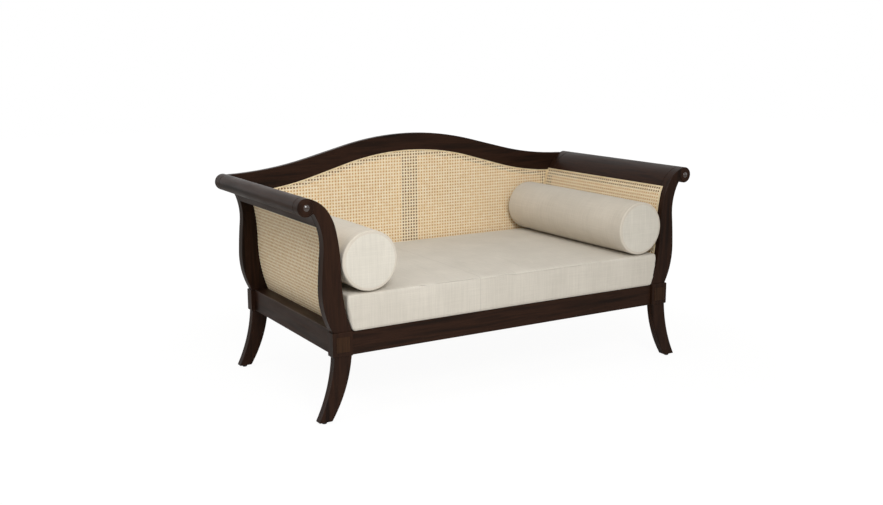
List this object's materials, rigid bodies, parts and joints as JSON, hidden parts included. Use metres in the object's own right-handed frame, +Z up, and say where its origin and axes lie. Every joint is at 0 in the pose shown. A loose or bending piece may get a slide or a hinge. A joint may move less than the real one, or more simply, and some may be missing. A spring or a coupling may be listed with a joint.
{
  "type": "wooden sofa",
  "caption": "Wooden sofa with outward scrolled arms, sabre legs, a curved crest, woven cane in the arms and back, a loose box cushion and loose bolsters.",
  "frame": {"origin": "on the floor under the middle of the overall box", "axes": "+X to the right of someone facing the sofa, -Y the way the seat faces, +Z up"},
  "size_m": [1.708, 0.822, 0.896],
  "materials": {
    "dark_wood": "dark espresso stain under a satin lacquer",
    "seat_timber": "plain sawn softwood, unstained",
    "woven_cane": "natural pale woven cane, slightly glossy skin",
    "reed_spline": "natural pale reed",
    "cushion_linen": "oatmeal linen weave, matt",
    "bolster_linen": "oatmeal linen weave, matt",
    "glide_plastic": "black moulded plastic",
    "screw_steel": "plain steel"
  },
  "bodies": {
    "frame": {"back_bottom_rail": "dark_wood", "back_centre_stile": "dark_wood", "back_front_cane": "woven_cane", "back_front_spline": "reed_spline", "back_rear_cane": "woven_cane", "back_rear_spline": "reed_spline", "back_screws": "screw_steel", "crest_rail": "dark_wood", "foot_glides": "glide_plastic", "front_ledger": "seat_timber", "front_seat_rail": "dark_wood", "left_arm_cane": "woven_cane", "left_arm_spline": "reed_spline", "left_arm_top_rail": "dark_wood", "left_back_stile": "dark_wood", "left_block_plaque": "dark_wood", "left_front_block": "dark_wood", "left_front_brace": "seat_timber", "left_front_leg": "dark_wood", "left_front_post": "dark_wood", "left_rear_block": "dark_wood", "left_rear_brace": "seat_timber", "left_rear_leg": "dark_wood", "left_rear_post": "dark_wood", "left_roll_cap": "dark_wood", "left_rosette": "dark_wood", "left_side_rail": "dark_wood", "rear_ledger": "seat_timber", "rear_seat_rail": "dark_wood", "right_arm_cane": "woven_cane", "right_arm_spline": "reed_spline", "right_arm_top_rail": "dark_wood", "right_back_stile": "dark_wood", "right_block_plaque": "dark_wood", "right_front_block": "dark_wood", "right_front_brace": "seat_timber", "right_front_leg": "dark_wood", "right_front_post": "dark_wood", "right_rear_block": "dark_wood", "right_rear_brace": "seat_timber", "right_rear_leg": "dark_wood", "right_rear_post": "dark_wood", "right_roll_cap": "dark_wood", "right_rosette": "dark_wood", "right_side_rail": "dark_wood", "seat_slats": "seat_timber"},
    "seat_cushion": {"seat_cushion": "cushion_linen"},
    "left_bolster": {"left_bolster": "bolster_linen"},
    "right_bolster": {"right_bolster": "bolster_linen"}
  },
  "joints": [
    {"name": "cushion_lift", "type": "slide", "parent": "frame", "child": "seat_cushion", "axis": [0, 0, 1], "range_m": [0, 0.3]},
    {"name": "left_bolster_lift", "type": "slide", "parent": "seat_cushion", "child": "left_bolster", "axis": [0, 0, 1], "range_m": [0, 0.25]},
    {"name": "right_bolster_lift", "type": "slide", "parent": "seat_cushion", "child": "right_bolster", "axis": [0, 0, 1], "range_m": [0, 0.25]}
  ]
}
